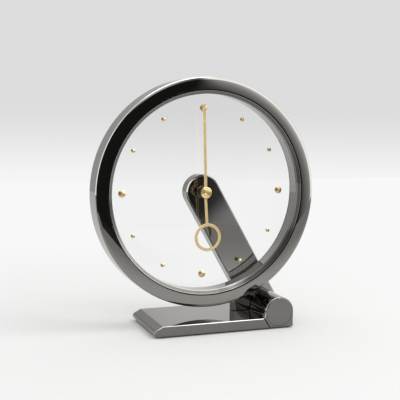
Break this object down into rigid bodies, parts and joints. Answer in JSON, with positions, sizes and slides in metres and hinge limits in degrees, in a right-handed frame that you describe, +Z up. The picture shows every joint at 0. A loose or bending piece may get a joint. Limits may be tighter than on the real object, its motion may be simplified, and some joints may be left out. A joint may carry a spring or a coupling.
{
  "type": "table clock",
  "caption": "Table clock with a round see-through dial in a ring case, carried by a slanted arm from a round battery barrel on a flat base; gold hands and studs, gear train in the arm.",
  "frame": {"origin": "on the table plane, under the dial axis and at the middle of the base's depth", "axes": "+Z up, +Y from the dial's front to its back along the dial axis, +X to the barrel end"},
  "size_m": [0.175, 0.0594, 0.1908],
  "materials": {
    "dark_chrome": "mirror-polished dark chrome",
    "gold": "polished gold plate",
    "clear_glass": "clear flat glass",
    "steel": "plain machined steel",
    "brass": "stamped brass",
    "rubber": "matt black rubber",
    "black_plastic": "satin black moulding",
    "green_board": "coated circuit board",
    "copper": "enamelled copper wire",
    "cell_jacket": "plain dark printed jacket"
  },
  "bodies": {
    "stand": {"base_plate": "dark_chrome", "battery_housing": "dark_chrome", "housing_front_disc": "dark_chrome", "ring_rest": "dark_chrome", "case_ring": "dark_chrome", "glass_retainer": "dark_chrome", "centre_bush": "dark_chrome", "arm_housing": "dark_chrome", "arm_cover": "dark_chrome", "marker_01": "gold", "marker_02": "gold", "marker_03": "gold", "marker_04": "gold", "marker_05": "gold", "marker_06": "gold", "marker_07": "gold", "marker_08": "gold", "marker_09": "gold", "marker_10": "gold", "marker_11": "gold", "marker_12": "gold", "front_glass": "clear_glass", "dial_glass": "clear_glass", "base_tie_plate": "steel", "base_screw_1": "steel", "base_screw_2": "steel", "base_screw_3": "steel", "base_screw_4": "steel", "contact_positive": "steel", "cover_screw_1": "steel", "cover_screw_2": "steel", "cover_screw_3": "steel", "ring_screw_1": "steel", "ring_screw_2": "steel", "stator": "steel", "coil_core": "steel", "quartz_crystal": "steel", "front_plate": "brass", "back_plate": "brass", "base_pad": "rubber", "dial_retainer": "black_plastic", "ic_chip": "black_plastic", "circuit_board": "green_board", "coil_winding": "copper", "battery": "cell_jacket"},
    "minute": {"centre_arbor": "steel", "minute_hand": "gold", "hand_cap": "gold", "centre_wheel": "brass", "set_knob": "black_plastic"},
    "hour": {"hour_wheel": "brass", "hour_hand": "gold"},
    "motion": {"motion_wheel": "brass"},
    "third": {"third_wheel": "brass"},
    "fourth": {"fourth_wheel": "brass"},
    "rotor": {"rotor": "steel"},
    "cap": {"battery_cap": "dark_chrome", "contact_negative": "steel"}
  },
  "joints": [
    {"name": "minute_spin", "type": "hinge", "parent": "stand", "child": "minute", "pos_m": [0, 0, 0.10335], "axis": [0, 1, 0], "continuous": true},
    {"name": "hour_spin", "type": "hinge", "parent": "stand", "child": "hour", "pos_m": [0, 0, 0.10335], "axis": [0, 1, 0], "continuous": true},
    {"name": "motion_spin", "type": "hinge", "parent": "stand", "child": "motion", "pos_m": [0.0069, 0, 0.0993], "axis": [0, 1, 0], "continuous": true},
    {"name": "third_spin", "type": "hinge", "parent": "stand", "child": "third", "pos_m": [0.00396, 0, 0.09639], "axis": [0, 1, 0], "continuous": true},
    {"name": "fourth_spin", "type": "hinge", "parent": "stand", "child": "fourth", "pos_m": [0.00772, 0, 0.08979], "axis": [0, 1, 0], "continuous": true},
    {"name": "rotor_spin", "type": "hinge", "parent": "stand", "child": "rotor", "pos_m": [0.01148, 0, 0.08318], "axis": [0, 1, 0], "continuous": true},
    {"name": "cap_pull", "type": "slide", "parent": "stand", "child": "cap", "axis": [0, 1, 0], "range_m": [0, 0.008]}
  ],
  "couplings": [
    {"joint": "hour_spin", "follows": "minute_spin", "ratio": 0.083333},
    {"joint": "motion_spin", "follows": "minute_spin", "ratio": -0.33333},
    {"joint": "third_spin", "follows": "minute_spin", "ratio": -4},
    {"joint": "fourth_spin", "follows": "minute_spin", "ratio": 15},
    {"joint": "rotor_spin", "follows": "minute_spin", "ratio": -56.25}
  ]
}
